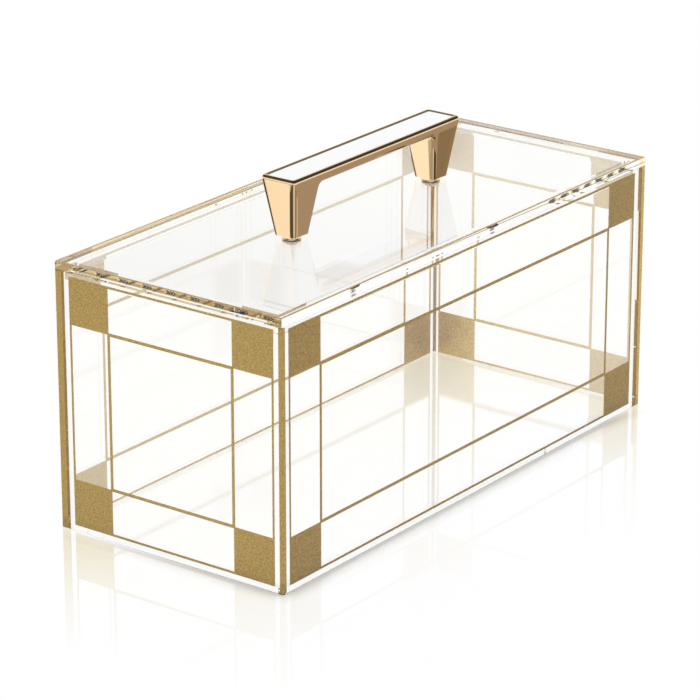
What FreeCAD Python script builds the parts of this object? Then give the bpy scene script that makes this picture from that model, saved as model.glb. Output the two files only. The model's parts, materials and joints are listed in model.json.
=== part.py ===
import FreeCAD, Part
import os

Vec = FreeCAD.Vector

# Clear sheet box, millimetres. +X runs along the box, -Y is its front, +Z is up, z = 0 is the table.
box_length = 340.0
box_width = 150.5
wall_height = 146.5
wall_sheet = 4.0
base_sheet = 2.0
lid_sheet = 5.0

# Gold border printed on the inner face of each wall.
print_film = 0.1
long_print_margin = 3.9     # from the box's inner corners to the border on the long walls
end_print_margin = 3.2      # the same on the end walls
print_foot_margin = 0.1     # from the top of the base up to the border
print_head_margin = 2.8     # from the top of the wall down to the border
border_line = 1.3
inner_line = 1.8
corner_square = 26.8        # the inner line runs along its inner edges, half on it and half off

# Locating strips glued under the lid, just inside the walls.
lip_sheet = 3.0
lip_depth = 5.0
lip_gap = 0.5

# Cast pull handle: a bar on two legs that taper towards their feet, with the side faces drawn in.
leg_spacing = 128.0         # between the two screw axes
bar_overhang = 12.95        # from each screw axis out to the end of the bar's top
handle_width = 23.8
handle_rise = 35.9          # top of the handle above the lid
bar_depth = 6.9
leg_head_length = 25.0
foot_length = 14.0
foot_width = 14.3
inner_corner_radius = 3.0
long_edge_radius = 3.0
top_edge_radius = 1.7
foot_edge_radius = 0.5

# White inlay let into the top of the bar, at the foot of a rim that slopes inwards.
inlay_rim = 3.6             # from the handle's outline to the inlay
rim_slope = 1.6             # width of the sloping part
rim_drop = 0.45             # how far the inlay lies below the top of the rim
inlay_depth = 1.4
inlay_gap = 0.05
inlay_corner_radius = 1.2

# Spacer collars under the feet, and the flanged screws that hold the handle from below.
collar_diameter = 11.0
collar_height = 1.5
collar_edge = 0.35
screw_diameter = 4.0
screw_flange_diameter = 10.5
screw_flange_height = 0.8
screw_head_diameter = 7.0
screw_head_height = 1.8     # below the flange
screw_head_rounding = 0.8
screw_grip = 9.0            # length of thread inside the leg
thread_gap = 0.05
hole_gap = 0.25
driver_slot_width = 1.0
driver_slot_length = 4.6
driver_slot_depth = 1.0
bore_spare = 1.0            # blind end of the leg's bore past the screw's tip

overcut = 1.0               # how far a cutting tool runs past a face
same_place = 0.01           # lengths closer than this count as equal

# Places that follow from the sizes above.
inner_length = box_length - 2 * wall_sheet
inner_width = box_width - 2 * wall_sheet
lid_under = wall_height
lid_top = lid_under + lid_sheet
foot_level = lid_top + collar_height
handle_length = leg_spacing + 2 * bar_overhang
handle_top = lid_top + handle_rise
bar_under = handle_top - bar_depth
screw_axes = {"left": -leg_spacing / 2, "right": leg_spacing / 2}


def block(low, high):
    size = [b - a for a, b in zip(low, high)]
    return Part.makeBox(size[0], size[1], size[2], Vec(*low))


def rod(radius, z_low, z_high, x):
    return Part.makeCylinder(radius, z_high - z_low, Vec(x, 0, z_low))


def base_panel():
    half_length = inner_length / 2
    half_width = inner_width / 2
    return block((-half_length, -half_width, 0), (half_length, half_width, base_sheet))


def long_wall(side):
    """A long wall, which runs past the ends of the short walls; side is -1 at the front."""
    y_edges = sorted((side * inner_width / 2, side * box_width / 2))
    return block((-box_length / 2, y_edges[0], 0), (box_length / 2, y_edges[1], wall_height))


def end_wall(side):
    """A short wall between the two long ones; side is -1 at the left end."""
    x_edges = sorted((side * inner_length / 2, side * box_length / 2))
    return block((x_edges[0], -inner_width / 2, 0), (x_edges[1], inner_width / 2, wall_height))


def border_film(half):
    """The printed border, lying flat on z = 0, half to each side of x = 0, with its height along y.

    It is a full film with five windows cut out: the middle, and one between each two corner squares."""
    foot = base_sheet + print_foot_margin
    head = wall_height - print_head_margin
    line_start = corner_square - inner_line / 2
    line_end = corner_square + inner_line / 2
    film = block((-half, foot, 0), (half, head, print_film))
    windows = [(-half + line_end, foot + line_end, half - line_end, head - line_end)]
    for low, high in ((foot + border_line, foot + line_start), (head - line_start, head - border_line)):
        windows.append((-half + corner_square, low, half - corner_square, high))
    for low, high in ((-half + border_line, -half + line_start), (half - line_start, half - border_line)):
        windows.append((low, foot + corner_square, high, head - corner_square))
    cuts = [block((x0, y0, -overcut), (x1, y1, overcut)) for x0, y0, x1, y1 in windows]
    return film.cut(Part.makeCompound(cuts))


def wall_print(half, turn, reach):
    """A border film stood upright against the wall face at y = reach, then turned about the vertical."""
    film = border_film(half)
    film.rotate(Vec(0, 0, 0), Vec(1, 0, 0), 90)
    film.translate(Vec(0, reach, 0))
    film.rotate(Vec(0, 0, 0), Vec(0, 0, 1), turn)
    return film


def long_lip(side):
    outer = inner_width / 2 - lip_gap
    y_edges = sorted((side * (outer - lip_sheet), side * outer))
    half = inner_length / 2 - lip_gap
    return block((-half, y_edges[0], lid_under - lip_depth), (half, y_edges[1], lid_under))


def end_lip(side):
    outer = inner_length / 2 - lip_gap
    x_edges = sorted((side * (outer - lip_sheet), side * outer))
    half = inner_width / 2 - lip_gap - lip_sheet
    return block((x_edges[0], -half, lid_under - lip_depth), (x_edges[1], half, lid_under))


def lid_plate():
    half_length = box_length / 2
    half_width = box_width / 2
    plate = block((-half_length, -half_width, lid_under), (half_length, half_width, lid_top))
    for x in screw_axes.values():
        plate = plate.cut(rod(screw_diameter / 2 + hole_gap, lid_under - overcut, lid_top + overcut, x))
    return plate


def handle_blank():
    """The bar and legs: the arch seen from the front, within the drawn-in section seen from the end."""
    top_half = handle_length / 2
    foot_out = leg_spacing / 2 + foot_length / 2
    foot_in = leg_spacing / 2 - foot_length / 2
    head_in = top_half - leg_head_length
    arch = [(-top_half, handle_top), (-foot_out, foot_level), (-foot_in, foot_level), (-head_in, bar_under),
            (head_in, bar_under), (foot_in, foot_level), (foot_out, foot_level), (top_half, handle_top)]
    outline = Part.makePolygon([Vec(x, -handle_width, z) for x, z in arch + arch[:1]])
    front_view = Part.Face(outline).extrude(Vec(0, 2 * handle_width, 0))
    section = [(-handle_width / 2, handle_top), (-foot_width / 2, foot_level),
               (foot_width / 2, foot_level), (handle_width / 2, handle_top)]
    outline = Part.makePolygon([Vec(-handle_length, y, z) for y, z in section + section[:1]])
    end_view = Part.Face(outline).extrude(Vec(2 * handle_length, 0, 0))
    return front_view.common(end_view).removeSplitter()


def edges_where(shape, wanted):
    return [edge for edge in shape.Edges if wanted(edge.BoundBox)]


def handle_body():
    """The blank with its inner corners, long edges, top rim and feet rounded, then bored and recessed."""
    shape = handle_blank()
    inner_corners = edges_where(shape, lambda box: max(box.XLength, box.ZLength) < same_place
                                and abs(box.ZMin - bar_under) < same_place)
    shape = shape.makeFillet(inner_corner_radius, inner_corners)
    leg_edges = edges_where(shape, lambda box: abs(box.ZMin - foot_level) < same_place < box.ZLength)
    shape = shape.makeFillet(long_edge_radius, leg_edges)
    top_rim = edges_where(shape, lambda box: box.ZMin > handle_top - same_place)
    shape = shape.makeFillet(top_edge_radius, top_rim)
    foot_rims = edges_where(shape, lambda box: box.ZMax < foot_level + same_place)
    shape = shape.makeFillet(foot_edge_radius, foot_rims)
    bore_end = foot_level + screw_grip + bore_spare
    for x in screw_axes.values():
        shape = shape.cut(rod(screw_diameter / 2 + thread_gap, foot_level - overcut, bore_end, x))
    return shape.cut(inlay_block(0)).cut(rim_cut())


def rounded_block(rim, low, high, corner):
    """A block within the handle's outline, rim in from it, with rounded upright edges."""
    half_length = handle_length / 2 - rim
    half_width = handle_width / 2 - rim
    plain = block((-half_length, -half_width, low), (half_length, half_width, high))
    uprights = edges_where(plain, lambda box: box.ZLength > same_place)
    return plain.makeFillet(corner, uprights)


def inlay_block(gap):
    """The inlay, or its recess, drawn in by gap at its sides and underneath."""
    face = handle_top - rim_drop
    return rounded_block(inlay_rim + gap, face - inlay_depth + gap, face, inlay_corner_radius)


def rim_cut():
    """The flat funnel above the inlay that leaves the rim sloping inwards."""
    narrow = rounded_block(inlay_rim, handle_top - rim_drop, handle_top, inlay_corner_radius)
    wide = rounded_block(inlay_rim - rim_slope, handle_top, handle_top + overcut, inlay_corner_radius)
    low_face = min(narrow.Faces, key=lambda face: face.BoundBox.ZMax)
    high_face = min(wide.Faces, key=lambda face: face.BoundBox.ZMax)
    return Part.makeLoft([low_face.OuterWire, high_face.OuterWire], True, True)


def collar(x):
    ring = rod(collar_diameter / 2, lid_top, foot_level, x)
    ring = ring.makeChamfer(collar_edge, [edge for edge in ring.Edges if edge.Closed])
    return ring.cut(rod(screw_diameter / 2 + hole_gap, lid_top - overcut, foot_level + overcut, x))


def screw(x):
    """A screw with a flange under the lid and a rounded head with a cross slot below that."""
    flange_under = lid_under - screw_flange_height
    face = flange_under - screw_head_height
    head = rod(screw_head_diameter / 2, face, flange_under, x)
    head = head.makeFillet(screw_head_rounding, edges_where(head, lambda box: box.ZMax < face + same_place))
    flange = rod(screw_flange_diameter / 2, flange_under, lid_under, x)
    shank = rod(screw_diameter / 2, lid_under, foot_level + screw_grip, x)
    body = shank.fuse([flange, head]).removeSplitter()
    half_long = driver_slot_length / 2
    half_short = driver_slot_width / 2
    for half_x, half_y in ((half_long, half_short), (half_short, half_long)):
        low = (x - half_x, -half_y, face - overcut)
        body = body.cut(block(low, (x + half_x, half_y, face + driver_slot_depth)))
    return body


long_print = inner_length / 2 - long_print_margin
end_print = inner_width / 2 - end_print_margin


pieces = {
    "base_panel": base_panel(),
    "front_panel": long_wall(-1),
    "back_panel": long_wall(1),
    "left_end_panel": end_wall(-1),
    "right_end_panel": end_wall(1),
    "front_print": wall_print(long_print, 180, inner_width / 2),
    "back_print": wall_print(long_print, 0, inner_width / 2),
    "left_print": wall_print(end_print, 90, inner_length / 2),
    "right_print": wall_print(end_print, -90, inner_length / 2),
    "lid_plate": lid_plate(),
    "front_lip": long_lip(-1),
    "back_lip": long_lip(1),
    "left_lip": end_lip(-1),
    "right_lip": end_lip(1),
    "handle_body": handle_body(),
    "handle_inlay": inlay_block(inlay_gap),
}
for end, axis_x in screw_axes.items():
    pieces[end + "_collar"] = collar(axis_x)
    pieces[end + "_screw"] = screw(axis_x)

os.makedirs("parts", exist_ok=True)
for node, shape in pieces.items():
    shape.exportStep("parts/" + node + ".step")
    print(f"{node}: {len(shape.Solids)} solid, {shape.Volume:.1f} mm3, valid {shape.isValid()}")
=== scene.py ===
import json
import math

import bmesh
import bpy
import numpy as np
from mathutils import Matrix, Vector
from mathutils.geometry import tessellate_polygon


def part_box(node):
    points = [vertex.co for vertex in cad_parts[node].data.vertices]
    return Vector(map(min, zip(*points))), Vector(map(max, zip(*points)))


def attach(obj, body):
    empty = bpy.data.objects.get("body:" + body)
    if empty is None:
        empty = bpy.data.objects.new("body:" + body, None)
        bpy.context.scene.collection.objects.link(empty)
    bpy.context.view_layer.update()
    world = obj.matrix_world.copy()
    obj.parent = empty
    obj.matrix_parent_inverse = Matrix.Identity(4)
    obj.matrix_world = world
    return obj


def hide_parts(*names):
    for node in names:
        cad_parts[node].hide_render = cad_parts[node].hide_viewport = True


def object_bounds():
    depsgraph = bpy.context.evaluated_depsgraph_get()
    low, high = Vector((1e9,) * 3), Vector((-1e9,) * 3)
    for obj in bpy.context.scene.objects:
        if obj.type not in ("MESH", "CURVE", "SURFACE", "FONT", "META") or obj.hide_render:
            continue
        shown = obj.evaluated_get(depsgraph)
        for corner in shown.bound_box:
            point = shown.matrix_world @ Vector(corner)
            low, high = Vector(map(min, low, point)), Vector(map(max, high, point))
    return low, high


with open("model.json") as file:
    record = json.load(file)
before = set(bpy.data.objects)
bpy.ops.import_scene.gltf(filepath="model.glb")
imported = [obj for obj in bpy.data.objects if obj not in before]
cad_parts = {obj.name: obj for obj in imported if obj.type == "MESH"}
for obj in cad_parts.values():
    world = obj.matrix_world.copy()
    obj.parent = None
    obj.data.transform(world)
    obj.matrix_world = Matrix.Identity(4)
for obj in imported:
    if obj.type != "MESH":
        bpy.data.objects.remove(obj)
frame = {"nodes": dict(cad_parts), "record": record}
nodes = frame["nodes"]
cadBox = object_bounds()
print("frame loaded:", len(nodes), "nodes")

scene = bpy.context.scene
scene.view_settings.view_transform = "Standard"


# Node helpers: sockets are given by name, and a socket as a value makes a link.
def addNode(tree, kind, sockets=None, **settings):
    node = tree.nodes.new(kind)
    for name, value in settings.items():
        setattr(node, name, value)
    for name, value in (sockets or {}).items():
        if isinstance(value, bpy.types.NodeSocket):
            tree.links.new(value, node.inputs[name])
        else:
            node.inputs[name].default_value = value
    return node


def newMaterial(name):
    material = bpy.data.materials.new(name)
    material.use_nodes = True
    material.node_tree.nodes.clear()
    return material, material.node_tree


def finishMaterial(tree, shader):
    addNode(tree, "ShaderNodeOutputMaterial", {"Surface": shader})


def objectPlace(tree):
    return addNode(tree, "ShaderNodeTexCoord").outputs["Object"]


# Shared effect: a fine grain that runs from Low to High over the surface, Scale to the metre.
def makeGrainGroup():
    group = bpy.data.node_groups.new("fineGrain", "ShaderNodeTree")
    face = group.interface
    face.new_socket("Place", in_out="INPUT", socket_type="NodeSocketVector")
    for name in ("Scale", "Low", "High"):
        face.new_socket(name, in_out="INPUT", socket_type="NodeSocketFloat")
    face.new_socket("Amount", in_out="OUTPUT", socket_type="NodeSocketFloat")
    inside = addNode(group, "NodeGroupInput").outputs
    noise = addNode(group, "ShaderNodeTexNoise", {"Vector": inside["Place"], "Scale": inside["Scale"],
                                                  "Detail": 3.0, "Roughness": 0.6})
    spread = addNode(group, "ShaderNodeMapRange", {"Value": noise.outputs["Fac"], "From Min": 0.3,
                                                   "From Max": 0.7, "To Min": inside["Low"],
                                                   "To Max": inside["High"]})
    addNode(group, "NodeGroupOutput", {"Amount": spread.outputs["Result"]})
    return group


grainGroup = makeGrainGroup()


def grain(tree, place, scale, low, high):
    node = addNode(tree, "ShaderNodeGroup", node_tree=grainGroup)
    tree.links.new(place, node.inputs["Place"])
    for name, value in (("Scale", scale), ("Low", low), ("High", high)):
        node.inputs[name].default_value = value
    return node.outputs["Amount"]


def mixColour(tree, amount, first, second):
    node = addNode(tree, "ShaderNodeMix", data_type="RGBA")
    tree.links.new(amount, node.inputs["Factor"])
    colours = [socket for socket in node.inputs if socket.type == "RGBA"]
    for socket, value in zip(colours, (first, second)):
        if isinstance(value, bpy.types.NodeSocket):
            tree.links.new(value, socket)
        else:
            socket.default_value = (*value, 1)
    return [socket for socket in node.outputs if socket.type == "RGBA"][0]


# A node that works out one number from two, each a number or a socket.
def combine(tree, operation, first, second):
    node = addNode(tree, "ShaderNodeMath", operation=operation)
    for socket, value in zip(node.inputs, (first, second)):
        if isinstance(value, bpy.types.NodeSocket):
            tree.links.new(value, socket)
        else:
            socket.default_value = value
    return node.outputs[0]


# One where a point lies further than reach from the middle along an axis.
def beyond(tree, value, reach):
    return combine(tree, "GREATER_THAN", combine(tree, "ABSOLUTE", value, 0.0), reach)


# One where a value lies between low and high.
def between(tree, value, low, high):
    return combine(tree, "MULTIPLY", combine(tree, "GREATER_THAN", value, low),
                   combine(tree, "LESS_THAN", value, high))


# A value carried from one range to another, and held at the ends.
def carryValue(tree, value, start, end, low=0.0, high=1.0, kind="LINEAR"):
    ranges = {"Value": value, "From Min": start, "From Max": end, "To Min": low, "To Max": high}
    return addNode(tree, "ShaderNodeMapRange", ranges, interpolation_type=kind).outputs["Result"]


# A gold line up each corner: an angle of film with one leg on the long wall's face and one on its end.
cornerLine = {"faceLeg": 0.0027, "frontEnd": 0.0023, "backEnd": 0.0040, "sink": 0.00002,
              "film": 0.00005, "stop": 0.0004}

# Clear cast sheet. Lamps and soft light pass straight through it, the camera sees it bend light. The
# walls' feet hold back some light. A painted gold glow, standing for gold light caught in the sheet,
# tints the far walls' tops and a strip beside the far corner's line. The lid's ends have a painted tan
# glow over their upper half and the corners, standing for gold light seen in the cut edge, with painted
# reflections of dark beads along it, and its front has a row of painted bead reflections too.
clearSheet = {"ior": 1.49, "tint": (1.0, 0.998, 0.986), "lampTint": (1.0, 1.0, 0.995),
              "footHeight": 0.006, "footTint": (0.05, 0.05, 0.05), "paintedGlowTop": (0.85, 0.60, 0.16),
              "paintedGlowStrip": (1.0, 0.84, 0.42), "stripWidth": 0.0062, "paintedEdgeGlow": (0.42, 0.29, 0.11),
              "edgeGlowHeight": 0.0024, "edgeGlowCorner": 0.066, "beadLow": 0.0025, "beadHigh": 0.0046,
              "beadBend": 1300.0, "hair": 0.00005}
beadTurns = 40.0  # whole pitches added, so that the share of a pitch is never negative
# A row of painted bead reflections: its pitch, where a pitch starts, the row's ends, and colours by share
# of a pitch.
endBeadReflections = {"pitch": 0.0158, "start": -0.0106, "from": -0.075, "to": 0.053, "colours": [
    (0.22, (0.60, 0.48, 0.26)), (0.26, (0.01, 0.009, 0.006)), (0.32, (0.012, 0.01, 0.007)),
    (0.34, (0.62, 0.55, 0.40)), (0.36, (0.015, 0.012, 0.01)), (0.43, (0.012, 0.01, 0.008)),
    (0.455, (0.42, 0.34, 0.20)), (0.48, (0.02, 0.016, 0.01)), (0.60, (0.03, 0.024, 0.014)),
    (0.64, (0.95, 0.55, 0.08)), (0.70, (0.80, 0.50, 0.12)), (0.74, (0.42, 0.29, 0.11))]}
frontBeadReflections = {"pitch": 0.0118, "start": 0.010, "from": 0.070, "to": 0.152, "colours": [
    (0.06, (0.92, 0.74, 0.40)), (0.13, (0.62, 0.38, 0.10)), (0.18, (0.02, 0.016, 0.01)),
    (0.62, (0.015, 0.012, 0.008)), (0.68, (0.62, 0.38, 0.10)), (0.84, (0.92, 0.74, 0.40))]}


# Painted reflections along the lid's cut edges, a row of dark beads with bright edges that stand for
# mirror images in the edge: the share of a pitch that a point has reached picks the colour. The
# share falls with the square of the height from the row's middle, so the beads end in crescents.
def paintedBeadReflection(tree, beads, along, height):
    bent = combine(tree, "SUBTRACT", along, combine(tree, "MULTIPLY", clearSheet["beadBend"],
                                                    combine(tree, "POWER", height, 2.0)))
    passed = combine(tree, "DIVIDE", combine(tree, "SUBTRACT", bent, beads["start"]), beads["pitch"])
    turn = combine(tree, "FRACT", combine(tree, "ADD", passed, beadTurns), 0.0)
    ramp = addNode(tree, "ShaderNodeValToRGB", {"Fac": turn})
    elements = ramp.color_ramp.elements
    while len(elements) < len(beads["colours"]):
        elements.new(0.5)
    for element, (place, colour) in zip(elements, beads["colours"]):
        element.position = place
        element.color = (*colour, 1)
    bead = between(tree, turn, beads["colours"][0][0], beads["colours"][-1][0])
    inRow = between(tree, along, beads["from"], beads["to"])
    return ramp.outputs["Color"], combine(tree, "MULTIPLY", bead, inRow)


def clearSheetMaterial():
    material, tree = newMaterial("clearSheet")
    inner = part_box("base_panel")[1]
    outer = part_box("front_panel")[1]
    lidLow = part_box("lid_plate")[0]
    hair = clearSheet["hair"]
    axes = addNode(tree, "ShaderNodeSeparateXYZ", {0: objectPlace(tree)}).outputs
    sideWall = beyond(tree, axes["Y"], inner.y + hair)
    pastEnd = beyond(tree, axes["X"], outer.x - hair)
    onWall = combine(tree, "LESS_THAN", axes["Z"], lidLow.z)
    wall = combine(tree, "MAXIMUM", sideWall, beyond(tree, axes["X"], inner.x + hair))
    low = combine(tree, "LESS_THAN", axes["Z"], clearSheet["footHeight"])
    fore = combine(tree, "LESS_THAN", axes["Y"], lidLow.y + hair)
    # A painted gold glow on a strip beside the far corner's line stands for gold light caught in the
    # sheet.
    strip = combine(tree, "GREATER_THAN", axes["X"], outer.x - clearSheet["stripWidth"])
    lined = combine(tree, "GREATER_THAN", axes["X"], outer.x - cornerLine["faceLeg"])
    strip = combine(tree, "SUBTRACT", strip, combine(tree, "MULTIPLY", lined, onWall))
    foreStrip = combine(tree, "MULTIPLY", fore, strip)
    tint = mixColour(tree, foreStrip, clearSheet["tint"], clearSheet["paintedGlowStrip"])
    # A painted tan glow on the lid's ends, over their upper half and the corners, stands for gold light
    # seen in the cut edge.
    upper = combine(tree, "GREATER_THAN", axes["Z"], lidLow.z + clearSheet["edgeGlowHeight"])
    corner = combine(tree, "MULTIPLY", beyond(tree, axes["Y"], clearSheet["edgeGlowCorner"]),
                     combine(tree, "GREATER_THAN", axes["Z"], lidLow.z))
    upper = combine(tree, "MAXIMUM", upper, corner)
    paintedEdgeGlow = combine(tree, "MULTIPLY", pastEnd, upper)
    tint = mixColour(tree, paintedEdgeGlow, tint, clearSheet["paintedEdgeGlow"])
    # A painted gold glow on the far walls' tops stands for gold light caught in the sheet.
    back = combine(tree, "MAXIMUM", combine(tree, "GREATER_THAN", axes["Y"], inner.y + hair),
                   combine(tree, "GREATER_THAN", axes["X"], inner.x + hair))
    onTop = between(tree, axes["Z"], outer.z - hair / 2, outer.z + hair / 2)
    tint = mixColour(tree, combine(tree, "MULTIPLY", back, onTop), tint, clearSheet["paintedGlowTop"])
    row = between(tree, axes["Z"], lidLow.z + clearSheet["beadLow"], lidLow.z + clearSheet["beadHigh"])
    rowHeight = lidLow.z + (clearSheet["beadLow"] + clearSheet["beadHigh"]) / 2
    height = combine(tree, "SUBTRACT", axes["Z"], rowHeight)
    # Painted reflections of dark beads along the lid's left end and its front.
    for beads, along, across, reach in ((endBeadReflections, "Y", "X", lidLow.x), (frontBeadReflections, "X", "Y", lidLow.y)):
        colour, bead = paintedBeadReflection(tree, beads, axes[along], height)
        face = combine(tree, "MULTIPLY", combine(tree, "LESS_THAN", axes[across], reach + hair), row)
        tint = mixColour(tree, combine(tree, "MULTIPLY", face, bead), tint, colour)
    glass = addNode(tree, "ShaderNodeBsdfPrincipled", {
        "Base Color": tint, "Roughness": 0.0, "IOR": clearSheet["ior"], "Transmission Weight": 1.0})
    foot = combine(tree, "MULTIPLY", wall, low)
    passing = mixColour(tree, foot, clearSheet["lampTint"], clearSheet["footTint"])
    through = addNode(tree, "ShaderNodeBsdfTransparent", {"Color": passing})
    path = addNode(tree, "ShaderNodeLightPath").outputs
    either = combine(tree, "MAXIMUM", path["Is Shadow Ray"], path["Is Diffuse Ray"])
    mixed = addNode(tree, "ShaderNodeMixShader", {0: either, 1: glass.outputs[0], 2: through.outputs[0]})
    finishMaterial(tree, mixed.outputs[0])
    return material


# Gold screen print: metal flake in a binder, dull with a fine sparkle. Its tone differs from wall to
# wall, partly as the print's own and partly as painted light and shade for how each wall is lit. Faces
# turned to the back and to the right take a painted light tone in place of their own.
goldInk = {"dark": (0.30, 0.185, 0.032), "bright": (0.84, 0.575, 0.138), "pale": (0.97, 0.87, 0.69),
           "away": (1.02, 1.04, 1.20), "awayFrom": (1, 1, 0), "turned": 0.5, "flake": 1300.0, "dull": 0.5,
           "shine": 0.34, "metal": 0.85}
# Each piece's tone is partly the print's own and partly painted light and shade for how that wall or line
# is lit.
inkToneAndShade = {"front": (0.71, 0.66, 0.37), "back": (0.92, 0.92, 0.78), "left": (0.90, 0.90, 0.92),
           "right": (1.38, 1.40, 1.44), "lid": (1.15, 1.12, 0.95), "leftCorners": (0.93, 0.92, 0.85),
           "rightCorners": (1.32, 1.32, 1.14)}
# Prints that are paler towards their top and the low end of an axis: that axis and the most of it.
inkFade = {"back": (0, 0.55), "right": (1, 0.65)}
fadeWidth = 0.8  # share of the way at which the fade is full


def goldInkMaterial():
    material, tree = newMaterial("goldInk")
    place = objectPlace(tree)
    flake = grain(tree, place, goldInk["flake"], 0.0, 1.0)
    colour = mixColour(tree, flake, goldInk["dark"], goldInk["bright"])
    normal = addNode(tree, "ShaderNodeNewGeometry").outputs["True Normal"]
    facing = addNode(tree, "ShaderNodeVectorMath", {0: normal, 1: goldInk["awayFrom"]},
                     operation="DOT_PRODUCT")
    near = combine(tree, "LESS_THAN", facing.outputs["Value"], goldInk["turned"])
    ownToneAndShade = addNode(tree, "ShaderNodeAttribute", attribute_name="inkToneAndShade").outputs["Color"]
    # Faces turned to the back and the right take a painted light tone in place of their own.
    tone = mixColour(tree, near, goldInk["away"], ownToneAndShade)
    toned = addNode(tree, "ShaderNodeVectorMath", {0: colour, 1: tone}, operation="MULTIPLY")
    ownFade = addNode(tree, "ShaderNodeAttribute", attribute_name="inkFade").outputs["Fac"]
    fade = combine(tree, "MULTIPLY", ownFade, near)
    faded = mixColour(tree, fade, toned.outputs[0], goldInk["pale"])
    roughness = grain(tree, place, goldInk["flake"] / 2, goldInk["shine"], goldInk["dull"])
    ink = addNode(tree, "ShaderNodeBsdfPrincipled", {"Base Color": faded, "Roughness": roughness,
                                                     "Metallic": goldInk["metal"]})
    finishMaterial(tree, ink.outputs[0])
    return material


# The ink's tone, with its painted light and shade, is the same all over a piece. The fade grows with
# the height or along the axis, with whichever is further on.
def setToneAndShade(piece, side):
    tone = piece.data.attributes.new("inkToneAndShade", "FLOAT_VECTOR", "POINT")
    count = len(piece.data.vertices)
    tone.data.foreach_set("vector", np.tile(inkToneAndShade[side], count))
    if side in inkFade:
        places = np.zeros(count * 3)
        piece.data.vertices.foreach_get("co", places)
        axis, most = inkFade[side]
        along, height = places[axis::3], places[2::3]
        rise = (height - height.min()) / (height.max() - height.min())
        near = (along.max() - along) / (along.max() - along.min())
        fade = piece.data.attributes.new("inkFade", "FLOAT", "POINT")
        fade.data.foreach_set("value", most * np.clip(np.maximum(rise, near) / fadeWidth, 0, 1))


# Polished plating, with faint wipe marks.
goldPlate = {"colour": (0.94, 0.70, 0.41), "deep": (0.92, 0.67, 0.38), "clean": 0.03, "wiped": 0.06,
             "clouds": 60.0, "wipes": 140.0}


def goldPlateMaterial():
    material, tree = newMaterial("goldPlate")
    place = objectPlace(tree)
    wipe = grain(tree, place, goldPlate["clouds"], 0.0, 1.0)
    colour = mixColour(tree, wipe, goldPlate["deep"], goldPlate["colour"])
    roughness = grain(tree, place, goldPlate["wipes"], goldPlate["clean"], goldPlate["wiped"])
    metal = addNode(tree, "ShaderNodeBsdfPrincipled", {"Base Color": colour, "Roughness": roughness,
                                                       "Metallic": 1.0})
    finishMaterial(tree, metal.outputs[0])
    return material


# Gloss white, a little clouded.
whiteInlay = {"white": (1.0, 1.0, 0.998), "cloud": (0.985, 0.985, 0.98), "clouds": 90.0, "wipes": 200.0,
              "clean": 0.16, "wiped": 0.24, "specular": 0.05}


def whiteInlayMaterial():
    material, tree = newMaterial("whiteInlay")
    place = objectPlace(tree)
    cloud = grain(tree, place, whiteInlay["clouds"], 0.0, 1.0)
    colour = mixColour(tree, cloud, whiteInlay["cloud"], whiteInlay["white"])
    roughness = grain(tree, place, whiteInlay["wipes"], whiteInlay["clean"], whiteInlay["wiped"])
    inlay = addNode(tree, "ShaderNodeBsdfPrincipled", {"Base Color": colour, "Roughness": roughness,
                                                       "Specular IOR Level": whiteInlay["specular"]})
    finishMaterial(tree, inlay.outputs[0])
    return material


# Bright steel with turning marks.
screwSteel = {"dark": (0.78, 0.75, 0.70), "bright": (0.90, 0.87, 0.82), "turning": 900.0, "marks": 500.0,
              "shine": 0.42, "dull": 0.56}


def screwSteelMaterial():
    material, tree = newMaterial("screwSteel")
    place = objectPlace(tree)
    turned = grain(tree, place, screwSteel["turning"], 0.0, 1.0)
    colour = mixColour(tree, turned, screwSteel["dark"], screwSteel["bright"])
    roughness = grain(tree, place, screwSteel["marks"], screwSteel["shine"], screwSteel["dull"])
    steel = addNode(tree, "ShaderNodeBsdfPrincipled", {"Base Color": colour, "Roughness": roughness,
                                                       "Metallic": 1.0})
    finishMaterial(tree, steel.outputs[0])
    return material


finishes = {"clear_sheet": clearSheetMaterial(), "gold_ink": goldInkMaterial(),
            "gold_plate": goldPlateMaterial(), "white_inlay": whiteInlayMaterial(),
            "screw_steel": screwSteelMaterial()}
for subpart in frame["record"]["subparts"]:
    mesh = nodes[subpart["node"]].data
    mesh.materials.clear()
    mesh.materials.append(finishes[subpart["material_slot"]])
print("finishes set:", ", ".join(finishes))


# A section of (inset from the outer face, height) points carried round the four corners of a box.
def carryRound(low, high, section):
    section = np.array(section)
    corners = np.array([(-1, -1), (1, -1), (1, 1), (-1, 1)])
    middle = np.array(low + high)[:2] / 2
    half = np.array(high - low)[:2] / 2
    flat = middle + corners[None, :, :] * (half - section[:, None, :1])
    height = np.broadcast_to(section[:, None, 1:], (len(section), 4, 1))
    return np.concatenate([flat, height], axis=2).reshape(-1, 3), ringFaces(len(section), 4)


# A closed section ends where it starts, so its last ring of four points is the first one again.
def closeRound(places, faces):
    count = len(places) - 4
    return places[:count], (np.array(faces) % count).tolist()


# A section of (radius, height) points turned about an upright axis.
def turnRound(axisX, section, steps):
    section = np.array(section)
    angle = np.linspace(0, 2 * np.pi, steps, endpoint=False)
    radius = section[:, :1]
    height = np.broadcast_to(section[:, 1:], (len(section), steps))
    places = np.stack([axisX + radius * np.cos(angle), radius * np.sin(angle), height], axis=-1)
    return places.reshape(-1, 3), ringFaces(len(section), steps)


# Quads between each ring of points and the next.
def ringFaces(rings, steps):
    ring, turn = np.meshgrid(np.arange(rings - 1) * steps, np.arange(steps), indexing="ij")
    after = (turn + 1) % steps
    quads = np.stack([ring + turn, ring + after, ring + steps + after, ring + steps + turn], axis=-1)
    return quads.reshape(-1, 4).tolist()


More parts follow.
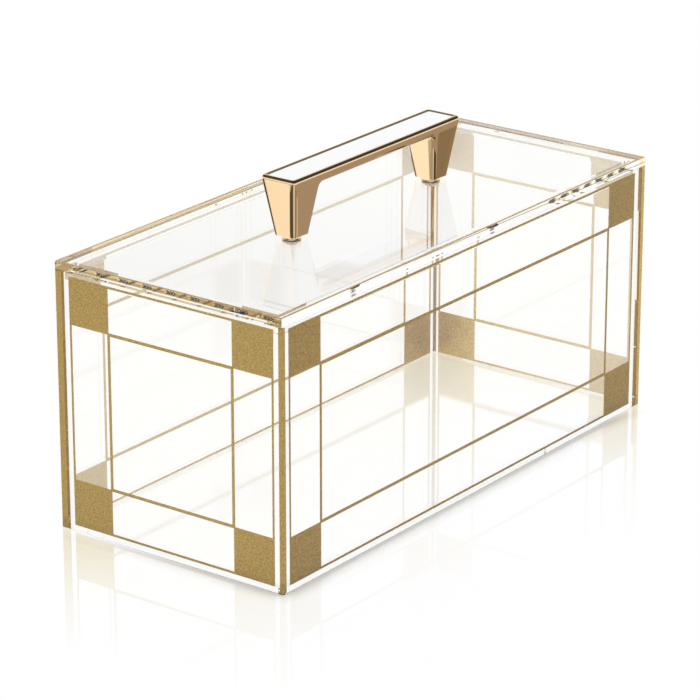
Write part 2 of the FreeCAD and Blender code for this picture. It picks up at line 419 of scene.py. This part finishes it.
def addPiece(name, places, faces, slot, body, *stoodFor):
    mesh = bpy.data.meshes.new(name)
    mesh.from_pydata(np.asarray(places).tolist(), [], faces)
    mesh.materials.append(finishes[slot])
    piece = bpy.data.objects.new(name, mesh)
    scene.collection.objects.link(piece)
    if stoodFor:
        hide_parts(*stoodFor)
    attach(piece, body)
    return piece


# The walls are welded, so light crosses their joints: one clear ring stands for all four. The base
# is let in with a hair of air round it.
wallRing = {"baseGap": 0.00005}


# The wall's upright section carried round the box.
def makeWalls():
    low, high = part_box("front_panel")
    wall = high.y - low.y
    high.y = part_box("back_panel")[1].y
    section = [(wall, low.z), (0, low.z), (0, high.z), (wall, high.z), (wall, low.z)]
    places, faces = closeRound(*carryRound(low, high, section))
    addPiece("clearWalls", places, faces, "clear_sheet", "box", "front_panel", "back_panel",
             "left_end_panel", "right_end_panel")


# A box between two levels, closed above and below.
def makeBase():
    low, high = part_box("base_panel")
    gap = wallRing["baseGap"]
    places, faces = carryRound(low, high, [(gap, low.z), (gap, high.z)])
    caps = [[3, 2, 1, 0], [4, 5, 6, 7]]
    addPiece("clearBase", places, faces + caps, "clear_sheet", "box", "base_panel")


makeWalls()
makeBase()
print("clear walls and base made")

# The lid and its welded strips, a hair above the walls so that air shows between them.
lidSheet = {"seatGap": 0.00005, "holeRadius": 0.00225, "steps": 40}


# The section of the lid's edge and strips carried round, with a turned hole for each screw. The faces
# below and above are cut into triangles between the outline and the holes.
def makeLid():
    low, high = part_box("lid_plate")
    lipLow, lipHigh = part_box("front_lip")
    under = low.z + lidSheet["seatGap"]
    lipOut = lipLow.y - low.y
    lipEnd = lipHigh.y - low.y
    section = [(lipEnd, under), (lipEnd, lipLow.z), (lipOut, lipLow.z), (lipOut, under), (0, under),
               (0, high.z)]
    places, faces = carryRound(low, high, section)
    loops = [[places[:4]], [places[-4:]]]  # below and above: the outline, then the holes
    rimStarts = [[0], [len(places) - 4]]
    hole = [(lidSheet["holeRadius"], under), (lidSheet["holeRadius"], high.z)]
    for screw in ("left_screw", "right_screw"):
        screwLow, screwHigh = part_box(screw)
        turned, quads = turnRound((screwLow.x + screwHigh.x) / 2, hole, lidSheet["steps"])
        start = len(places)
        places = np.concatenate([places, turned])
        faces = faces + [[start + corner for corner in quad] for quad in quads]
        loops[0].append(turned[:lidSheet["steps"]])
        loops[1].append(turned[-lidSheet["steps"]:])
        rimStarts[0].append(start)
        rimStarts[1].append(start + len(turned) - lidSheet["steps"])
    for rim, starts in zip(loops, rimStarts):
        index = np.concatenate([first + np.arange(len(loop)) for first, loop in zip(starts, rim)])
        cut = tessellate_polygon([[Vector(point) for point in loop] for loop in rim])
        faces = faces + [[int(index[corner]) for corner in triangle] for triangle in cut]
    lid = addPiece("clearLid", places, faces, "clear_sheet", "lid", "lid_plate", "front_lip", "back_lip",
                   "left_lip", "right_lip")
    shape = bmesh.new()
    shape.from_mesh(lid.data)
    bmesh.ops.recalc_face_normals(shape, faces=shape.faces)
    shape.to_mesh(lid.data)
    shape.free()


makeLid()


# A gold line round the rim of the lid's top, sunk a hair into the sheet.
rimLine = {"width": 0.0013, "sink": 0.00002, "film": 0.00005}


# The film's flat section carried round the lid.
def makeRimLine():
    low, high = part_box("lid_plate")
    top = high.z - rimLine["sink"]
    under = top - rimLine["film"]
    start = rimLine["sink"]
    end = start + rimLine["width"]
    section = [(end, under), (start, under), (start, top), (end, top), (end, under)]
    places, faces = closeRound(*carryRound(low, high, section))
    piece = addPiece("lidLine", places, faces, "gold_ink", "lid")
    setToneAndShade(piece, "lid")


makeRimLine()
print("clear lid made")


# Printed borders: each film is sunk a hair into its wall, as ink is bonded to the sheet.
wallPrint = {"borderLine": 0.0013, "innerLine": 0.0018, "cornerSquare": 0.0268, "sink": 0.00002}


# A border is a grid of ten lines each way: the edges of the outer line, of the inner line and of the
# corner squares. Its cells are all filled but the middle one and those between two corner squares.
def borderCells(lowU, highU, lowV, highV):
    square = wallPrint["cornerSquare"]
    half = wallPrint["innerLine"] / 2
    steps = np.array([0, wallPrint["borderLine"], square - half, square, square + half])
    us = np.concatenate([lowU + steps, highU - steps[::-1]])
    vs = np.concatenate([lowV + steps, highV - steps[::-1]])
    u, v = np.meshgrid(us, vs, indexing="ij")
    lines = len(vs)
    cell = np.arange(lines - 1)
    fromMiddle = np.abs(cell - len(cell) // 2)
    i, j = np.meshgrid(fromMiddle, fromMiddle, indexing="ij")
    window = ((i == 0) & (j == 0)) | ((i <= 1) & (j == 3)) | ((i == 3) & (j <= 1))
    corner = (cell[:, None] * lines + cell)[~window]
    faces = np.stack([corner, corner + lines, corner + lines + 1, corner + 1], axis=1)
    return u.ravel(), v.ravel(), faces


# The border's cells laid flat on the wall's inner face and thickened into the box.
def makePrint(side):
    low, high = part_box(side + "_print")
    thin = 1 if side in ("front", "back") else 0  # the axis across the wall
    along = 1 - thin
    u, v, faces = borderCells(low[along], high[along], low[2], high[2])
    outward = -1 if side in ("front", "left") else 1
    wallFace = (low if outward < 0 else high)[thin]
    places = np.zeros((len(u), 3))
    places[:, along] = u
    places[:, 2] = v
    places[:, thin] = wallFace + outward * wallPrint["sink"]
    piece = addPiece(side + "Print", places, faces.tolist(), "gold_ink", "box", side + "_print")
    setToneAndShade(piece, side)
    thicken = piece.modifiers.new("film", "SOLIDIFY")
    thicken.thickness = (high - low)[thin] + wallPrint["sink"]
    first, right, _, up = places[faces[0]]
    normal = np.cross(right - first, up - first)
    thicken.offset = -1.0 if normal[thin] * outward > 0 else 1.0


# The angle's plan, mirrored to the back and the front corner of one side and carried straight up.
def makeCornerLines(side, turnX):
    low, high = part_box("front_panel")
    outer = np.array((high.x, -low.y)) - cornerLine["sink"]
    thin = outer - cornerLine["film"]
    face = outer[0] - cornerLine["faceLeg"]
    plans = []
    for turnY, leg in ((1, "backEnd"), (-1, "frontEnd")):
        end = outer[1] - cornerLine[leg]
        angle = np.array([(face, outer[1]), outer, (outer[0], end), (thin[0], end), thin, (face, thin[1])])
        plans.append((angle * (turnX, turnY))[::turnX * turnY])
    levels = (low.z + cornerLine["stop"], high.z - cornerLine["stop"])
    places = [np.column_stack([plan, np.full(len(plan), level)]) for plan in plans for level in levels]
    rings = np.array(ringFaces(len(levels), len(angle)))
    points = len(levels) * len(angle)
    faces = np.concatenate([rings + number * points for number in range(len(plans))])
    piece = addPiece(side, np.concatenate(places), faces.tolist(), "gold_ink", "box")
    setToneAndShade(piece, side)


for side in ("front", "back", "left", "right"):
    makePrint(side)
makeCornerLines("leftCorners", -1)
makeCornerLines("rightCorners", 1)
print("printed borders made")


# Floor and world: white to the eye, to metal and to glass, and a plain soft light to the rest.
# The floor is polished a little: it mirrors the box close to it, less and less further out, and only
# at a slant. The mirror's share differs from side to side, and its tint takes the yellow out of the
# gold. The floor takes the box's shadow along the foot of the walls, but for their far ends.
studio = {"floorSize": 12.0, "floorDrop": 0.0002, "floorColour": (1.0, 1.0, 1.0), "skyLight": 1.0,
          "mirrorEnd": 0.33, "mirrorNear": 0.10, "mirrorFront": 0.08, "mirrorRight": 0.30,
          "mirrorReach": 0.12, "mirrorTint": (0.90, 1.05, 1.55), "mirrorRoughness": 0.02,
          "frontStart": 0.02, "sideBlend": 0.01, "slantStart": 0.25, "slantEnd": 0.55,
          "shadowTint": (1.0, 0.99, 0.95), "shadowStart": 0.0005, "shadowReach": 0.013,
          "shadowRight": 0.13, "inGlass": 0.6}


def makeFloor():
    half = studio["floorSize"] / 2
    mesh = bpy.data.meshes.new("floor")
    corners = [(-half, -half, 0), (half, -half, 0), (half, half, 0), (-half, half, 0)]
    mesh.from_pydata(corners, [], [(0, 1, 2, 3)])
    floor = bpy.data.objects.new("floor", mesh)
    floor.location.z = -studio["floorDrop"]
    scene.collection.objects.link(floor)
    material, tree = newMaterial("floor")
    edge = cadBox[1]
    axes = addNode(tree, "ShaderNodeSeparateXYZ", {0: objectPlace(tree)}).outputs
    past = [combine(tree, "SUBTRACT", combine(tree, "ABSOLUTE", axes[axis], 0.0), reach)
            for axis, reach in (("X", edge[0]), ("Y", edge[1]))]
    gaps = [combine(tree, "MAXIMUM", gap, 0.0) for gap in past]
    squares = [combine(tree, "MULTIPLY", gap, gap) for gap in gaps]
    away = combine(tree, "POWER", combine(tree, "ADD", *squares), 0.5)
    inside = combine(tree, "MULTIPLY", combine(tree, "MAXIMUM", *past), -1.0)
    fromWall = combine(tree, "MAXIMUM", away, inside)
    path = addNode(tree, "ShaderNodeLightPath").outputs
    seen = combine(tree, "MAXIMUM", path["Is Camera Ray"], path["Is Glossy Ray"])
    clearOf = carryValue(tree, fromWall, studio["shadowStart"], studio["shadowReach"], kind="SMOOTHSTEP")
    for axis, start, end in (("Y", -edge[1] / 2, edge[1]), ("X", studio["shadowRight"], edge[0])):
        farEnd = carryValue(tree, axes[axis], start, end, kind="SMOOTHSTEP")
        clearOf = combine(tree, "MAXIMUM", clearOf, farEnd)
    inGlass = combine(tree, "MULTIPLY", path["Is Transmission Ray"], studio["inGlass"])
    share = combine(tree, "MULTIPLY", seen, combine(tree, "MAXIMUM", clearOf, inGlass))
    end = carryValue(tree, axes["Y"], -edge[1], edge[1], studio["mirrorNear"], studio["mirrorEnd"])
    front = carryValue(tree, axes["X"], studio["frontStart"], edge[0], studio["mirrorFront"],
                       studio["mirrorRight"])
    side = carryValue(tree, axes["X"], -edge[0] - studio["sideBlend"], -edge[0] + studio["sideBlend"],
                      end, front)
    fade = carryValue(tree, away, 0.0, studio["mirrorReach"], side, 0.0)
    facing = addNode(tree, "ShaderNodeLayerWeight", {"Blend": 0.5}).outputs["Facing"]
    slant = carryValue(tree, facing, studio["slantStart"], studio["slantEnd"])
    mirrored = addNode(tree, "ShaderNodeVectorMath", {
        0: studio["mirrorTint"], "Scale": combine(tree, "MULTIPLY", fade, slant)}, operation="SCALE")
    rest = addNode(tree, "ShaderNodeVectorMath", {0: studio["floorColour"], 1: mirrored.outputs[0]},
                   operation="SUBTRACT")
    shade = addNode(tree, "ShaderNodeVectorMath", {0: rest.outputs[0], 1: studio["shadowTint"]},
                    operation="MULTIPLY")
    matt = addNode(tree, "ShaderNodeBsdfDiffuse", {"Color": shade.outputs[0]})
    white = addNode(tree, "ShaderNodeEmission", {"Color": rest.outputs[0]})
    table = addNode(tree, "ShaderNodeMixShader", {0: share, 1: matt.outputs[0], 2: white.outputs[0]})
    polish = addNode(tree, "ShaderNodeBsdfGlossy", {"Color": mirrored.outputs[0],
                                                    "Roughness": studio["mirrorRoughness"]})
    both = addNode(tree, "ShaderNodeAddShader", {0: table.outputs[0], 1: polish.outputs[0]})
    finishMaterial(tree, both.outputs[0])
    material.cycles.emission_sampling = "NONE"
    mesh.materials.append(material)


def makeWorld():
    world = bpy.data.worlds.new("studio")
    scene.world = world
    world.use_nodes = True
    tree = world.node_tree
    tree.nodes.clear()
    path = addNode(tree, "ShaderNodeLightPath").outputs
    seen = path["Is Camera Ray"]
    for name in ("Is Glossy Ray", "Is Transmission Ray"):
        seen = combine(tree, "MAXIMUM", seen, path[name])
    strength = carryValue(tree, seen, 0.0, 1.0, studio["skyLight"], 1.0)
    sky = addNode(tree, "ShaderNodeBackground", {"Color": (1, 1, 1, 1), "Strength": strength})
    addNode(tree, "ShaderNodeOutputWorld", {"Surface": sky.outputs[0]})


makeFloor()
makeWorld()
print("floor and world made")


# Studio flags that only polished surfaces see. Corners are millimetres from the middle of the lid's
# top. Pale blue ones show white in gold. Canopies hang over the box and face down, each a little lower
# than the one before.
canopyHeight = 98
canopyStep = 0.1
canopy = {
    "canopyFront": ((0.05, 0.05, 0.05), [(-220, -220), (400, -220), (400, 12), (-220, 12)]),
    "canopyMiddle": ((0.19, 0.19, 0.19), [(-20, 12), (230, 12), (230, 72), (-20, 72)]),
    "canopyLeft": ((0.07, 0.07, 0.07), [(-220, 12), (-20, 12), (-20, 220), (-220, 220)]),
    "canopyBack": ((0.64, 0.64, 0.64), [(20, 72), (400, 72), (400, 240), (20, 240)]),
    "canopySide": ((0.78, 1.05, 1.80), [(165, -520), (680, -520), (680, -212), (165, -212)]),
}
# Flags that lie on the lid and face up, the later ones higher: the first height and the step.
lyingStart = 0.1
lyingStep = 0.02
lidFlags = {
    "lidAll": ((0.55, 0.53, 0.50), [(-168, -5), (168, -5), (168, 73), (-168, 73)]),
    "lidFront": ((0.40, 0.345, 0.315), [(-168, -74), (168, -74), (168, -5), (-168, -5)]),
    "lidUnderBar": ((0.84, 1.10, 1.84), [(-50, 33), (118, 33), (118, 60), (-50, 60)]),
    "lidBarEnd": ((0.37, 0.295, 0.21), [(104, -50), (168, -50), (168, -74), (104, -74)]),
    "lidRearSide": ((0.27, 0.22, 0.165), [(54, -7), (82, -7), (139, -43), (111, -43)]),
    "lidFarLeft": ((0.06, 0.055, 0.05), [(-70, 6), (-70, 72), (-125, 65)]),
    "lidFarRight": ((0.12, 0.10, 0.08), [(58, 6), (56, 33), (33, 33)]),
    "lidFarMiddle": ((0.50, 0.57, 0.78), [(56, 33), (54, 60), (8, 60), (33, 33)]),
    "lidEndFace": ((1.07, 1.06, 1.10), [(-71, -4), (-71, 4.5), (-117, 47.5), (-117, 28.5)]),
    "lidInnerFace": ((1.08, 1.15, 1.25), [(57, -4), (57, 4.5), (18, 41), (18, 23.5)]),
}
# Flags that are brighter to one side: the direction, where the rise starts and ends, and the gain.
rises = {
    "canopyBack": ((1.0, 0.0, 0.0), 0.06, 0.32, 1.5),
    "lidRearSide": ((0.51, 0.86, 0.0), 0.026, 0.036, 1.35),
}
# Wedges that fan out from the foot of each leg's near edge. The foot and the wedges' length, then each
# wedge's brightness, first and last angle.
edgeFans = {
    (-69.5, -5.8, 46): [(0.10, 150, 216), (0.75, 219, 256), (0.20, 263, 287), (0.70, 295, 317)],
    (58.5, -5.8, 28): [(0.45, 150, 214), (0.75, 216, 235), (0.08, 238, 290)],
}
fanTint = (1.0, 0.92, 0.84)
fanSteps = 5
# Discs round each collar: name, how far past the collar, colour.
collarDiscs = [("collarGlow", 3.2, (1.1, 1.1, 1.1))]
collarSteps = 24

# Upright cards that the lid's mirror images of the legs face: colour, facing and two opposite corners.
cards = {
    "cardLeft": ((0.72, 0.98, 1.70), (1, 0, 0), (-130, 20, 3), (-130, 58, 46)),
    "cardMiddle": ((0.88, 1.18, 2.0), (1, 0, 0), (-2, 20, 3), (-2, 58, 46)),
    "cardNear": ((0.70, 0.94, 1.60), (0, 1, 0), (-175, -75, 3), (-6, -75, 62)),
}
# Flags that show only after two reflections, in a mirror image of the handle, so that the lid itself
# doesn't show them.
mirrorOnly = ("canopySide", "cardLeft", "cardMiddle", "cardNear")
mirrorDepth = 1.5


def makeFlag(name, corners, colour, facing):
    mesh = bpy.data.meshes.new(name)
    middle = (Vector(cadBox[0]) + Vector(cadBox[1])) / 2
    middle.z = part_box("lid_plate")[1].z
    places = [middle + Vector(corner) / 1000 for corner in corners]
    mesh.from_pydata(places, [], [list(range(len(places)))])
    mesh.update()
    if mesh.polygons[0].normal.dot(Vector(facing)) < 0:
        mesh.flip_normals()
    material, tree = newMaterial(name)
    glow = addNode(tree, "ShaderNodeEmission", {"Color": (*colour, 1)})
    if name in rises:
        direction, start, end, gain = rises[name]
        across = addNode(tree, "ShaderNodeVectorMath", {0: objectPlace(tree), 1: direction},
                         operation="DOT_PRODUCT").outputs["Value"]
        tree.links.new(carryValue(tree, across, start, end, 1.0, gain), glow.inputs["Strength"])
    clear = addNode(tree, "ShaderNodeBsdfTransparent")
    behind = addNode(tree, "ShaderNodeNewGeometry").outputs["Backfacing"]
    if name in mirrorOnly:
        depth = addNode(tree, "ShaderNodeLightPath").outputs["Ray Depth"]
        behind = combine(tree, "MAXIMUM", behind, combine(tree, "LESS_THAN", depth, mirrorDepth))
    mixed = addNode(tree, "ShaderNodeMixShader", {0: behind, 1: glow.outputs[0], 2: clear.outputs[0]})
    finishMaterial(tree, mixed.outputs[0])
    material.cycles.emission_sampling = "NONE"
    mesh.materials.append(material)
    flag = bpy.data.objects.new(name, mesh)
    scene.collection.objects.link(flag)
    flag.visible_camera = False
    flag.visible_diffuse = False
    flag.visible_transmission = False
    flag.visible_shadow = False


def makeFlags():
    for order, (name, (colour, corners)) in enumerate(canopy.items()):
        places = [(x, y, canopyHeight - canopyStep * order) for x, y in corners]
        makeFlag(name, places, colour, (0, 0, -1))
    lying = [(name, colour, corners) for name, (colour, corners) in lidFlags.items()]
    for (footX, footY, reach), wedges in edgeFans.items():
        for brightness, first, last in wedges:
            angles = np.radians(np.linspace(first, last, fanSteps))
            rim = list(zip(footX + reach * np.cos(angles), footY + reach * np.sin(angles)))
            colour = tuple(brightness * part for part in fanTint)
            lying.append(("edgeFan", colour, [(footX, footY)] + rim))
    for collar in ("left_collar", "right_collar"):
        low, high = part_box(collar)
        centre = 500 * (low.x + high.x)  # half the sum, in millimetres
        turns = np.linspace(0, 2 * np.pi, collarSteps, endpoint=False)
        for name, past, colour in collarDiscs:
            reach = 500 * (high.x - low.x) + past
            lying.append((name, colour, list(zip(centre + reach * np.cos(turns), reach * np.sin(turns)))))
    for order, (name, colour, corners) in enumerate(lying):
        makeFlag(name, [(x, y, lyingStart + lyingStep * order) for x, y in corners], colour, (0, 0, 1))
    for name, (colour, facing, low, high) in cards.items():
        corners = [low, (high[0], high[1], low[2]), high, (low[0], low[1], high[2])]
        makeFlag(name, corners, colour, facing)


makeFlags()
print("studio flags hung")


# Camera at the photograph's viewpoint, worked out from the box's edges. Degrees, metres.
view = {"place": (-1.51267, -1.11978, 0.76771), "turn": -53.275, "down": 20.406, "focalPixels": 3607.1,
        "framePixels": 700, "sensor": 36.0, "nearest": 0.05}


def makeCamera():
    data = bpy.data.cameras.new("camera")
    data.sensor_width = view["sensor"]
    data.lens = view["sensor"] * view["focalPixels"] / view["framePixels"]
    data.clip_start = view["nearest"]
    camera = bpy.data.objects.new("camera", data)
    camera.location = view["place"]
    camera.rotation_euler = (math.radians(90 - view["down"]), 0, math.radians(view["turn"]))
    scene.collection.objects.link(camera)
    scene.camera = camera


makeCamera()
print("camera set")

# Light is guided along the sheets' edges over many turns, so the paths are long.
longestPath = 128
scene.cycles.max_bounces = longestPath
scene.cycles.glossy_bounces = longestPath
scene.cycles.transmission_bounces = longestPath
scene.cycles.transparent_max_bounces = longestPath
